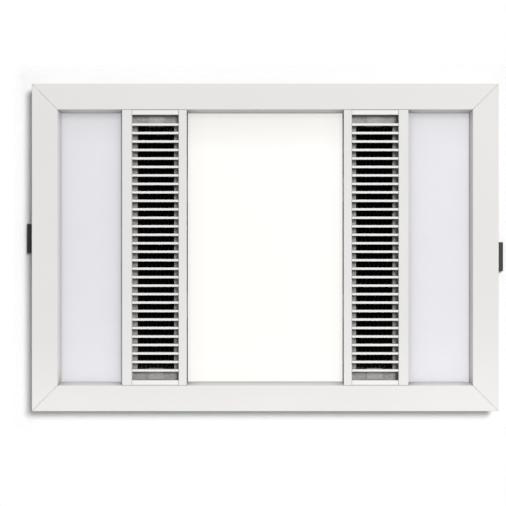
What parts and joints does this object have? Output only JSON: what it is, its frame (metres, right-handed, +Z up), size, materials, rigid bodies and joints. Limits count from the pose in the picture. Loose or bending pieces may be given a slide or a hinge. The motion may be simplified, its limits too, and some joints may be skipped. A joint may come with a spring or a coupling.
{
  "type": "bathroom ceiling heater",
  "caption": "Flush bathroom ceiling unit: white mitred fascia with slatted heater grilles, a lit centre panel and plain side panels on a sheet-steel housing with a ducted fan.",
  "frame": {"origin": "middle of the four ceiling screws, on the underside of the ceiling", "axes": "+Z up into the ceiling void, X along the fascia's long side, the duct leaves towards -Y"},
  "size_m": [0.621, 0.435, 0.2445],
  "materials": {
    "white_coated_aluminium": "white powder coat, satin",
    "white_moulding": "satin white moulding",
    "pale_panel": "satin, slightly cool white",
    "opal_diffuser": "opal, lit from behind",
    "die_cast": "as cast",
    "galvanised_steel": "galvanised sheet",
    "aluminised_steel": "aluminised sheet, matt",
    "bright_steel": "zinc plated",
    "black_element": "black anodised",
    "heater_sheath": "heat-tinted stainless",
    "ceramic": "unglazed",
    "white_coated_steel": "white coated sheet",
    "circuit_board": "white solder mask",
    "black_plastic": "fine grained moulding",
    "grey_plastic": "fine grained moulding",
    "black_nylon": "moulded nylon",
    "black_rubber": "matt",
    "motor_steel": "dark coated steel",
    "motor_iron": "laminated iron and copper",
    "bronze": "sintered bronze"
  },
  "bodies": {
    "housing": {"wall_rear": "galvanised_steel", "wall_front": "galvanised_steel", "wall_left": "galvanised_steel", "wall_right": "galvanised_steel", "roof": "galvanised_steel", "housing_rivets": "bright_steel", "housing_screws": "bright_steel", "heater_tray_left": "aluminised_steel", "heater_tray_right": "aluminised_steel", "heat_shield_left": "aluminised_steel", "heat_shield_right": "aluminised_steel", "heating_element_left": "black_element", "heating_element_right": "black_element", "heating_rods": "heater_sheath", "element_clips": "aluminised_steel", "rod_insulators": "ceramic", "thermal_cutouts": "black_plastic", "stud_receivers": "black_nylon", "light_tray": "white_coated_steel", "led_boards": "circuit_board", "led_driver": "grey_plastic", "blower_scroll": "galvanised_steel", "blower_inlet": "galvanised_steel", "duct_spigot": "black_plastic", "motor_plate": "galvanised_steel", "motor_grommets": "black_rubber", "motor_can": "motor_steel", "motor_stator": "motor_iron", "motor_bushes": "bronze", "capacitor": "grey_plastic", "terminal_box": "grey_plastic", "terminal_cover": "grey_plastic", "terminal_block": "black_plastic", "cable_gland": "black_nylon", "toggle_brackets": "bright_steel", "hinge_pins": "bright_steel"},
    "fascia": {"frame_rear": "white_coated_aluminium", "frame_front": "white_coated_aluminium", "frame_left": "white_coated_aluminium", "frame_right": "white_coated_aluminium", "corner_keys": "die_cast", "rail_left_outer": "white_coated_aluminium", "rail_left_inner": "white_coated_aluminium", "rail_right_inner": "white_coated_aluminium", "rail_right_outer": "white_coated_aluminium", "rail_keys": "die_cast", "fascia_screws": "bright_steel", "louvre_left": "white_moulding", "louvre_right": "white_moulding", "side_panel_left": "pale_panel", "side_panel_right": "pale_panel", "light_diffuser": "opal_diffuser", "panel_clips": "bright_steel", "fascia_studs": "bright_steel"},
    "fan": {"impeller": "grey_plastic", "motor_rotor": "bright_steel"},
    "damper": {"damper_flap": "grey_plastic"},
    "toggle_left": {"toggle_left": "black_nylon"},
    "toggle_right": {"toggle_right": "black_nylon"}
  },
  "joints": [
    {"name": "fascia_drop", "type": "slide", "parent": "housing", "child": "fascia", "axis": [0, 0, -1], "range_m": [0, 0.045]},
    {"name": "fan_spin", "type": "hinge", "parent": "housing", "child": "fan", "pos_m": [-0.04, 0.02, 0.16], "axis": [0, 0, 1], "continuous": true},
    {"name": "damper_swing", "type": "hinge", "parent": "housing", "child": "damper", "pos_m": [0.041, -0.19, 0.143], "axis": [-1, 0, 0], "range_deg": [0, 60]},
    {"name": "toggle_left_fold", "type": "hinge", "parent": "housing", "child": "toggle_left", "pos_m": [-0.281, -0.0119, 0.019], "axis": [0, 1, 0], "range_deg": [0, 85]},
    {"name": "toggle_right_fold", "type": "hinge", "parent": "housing", "child": "toggle_right", "pos_m": [0.281, 0.0119, 0.019], "axis": [0, -1, 0], "range_deg": [0, 85]}
  ]
}
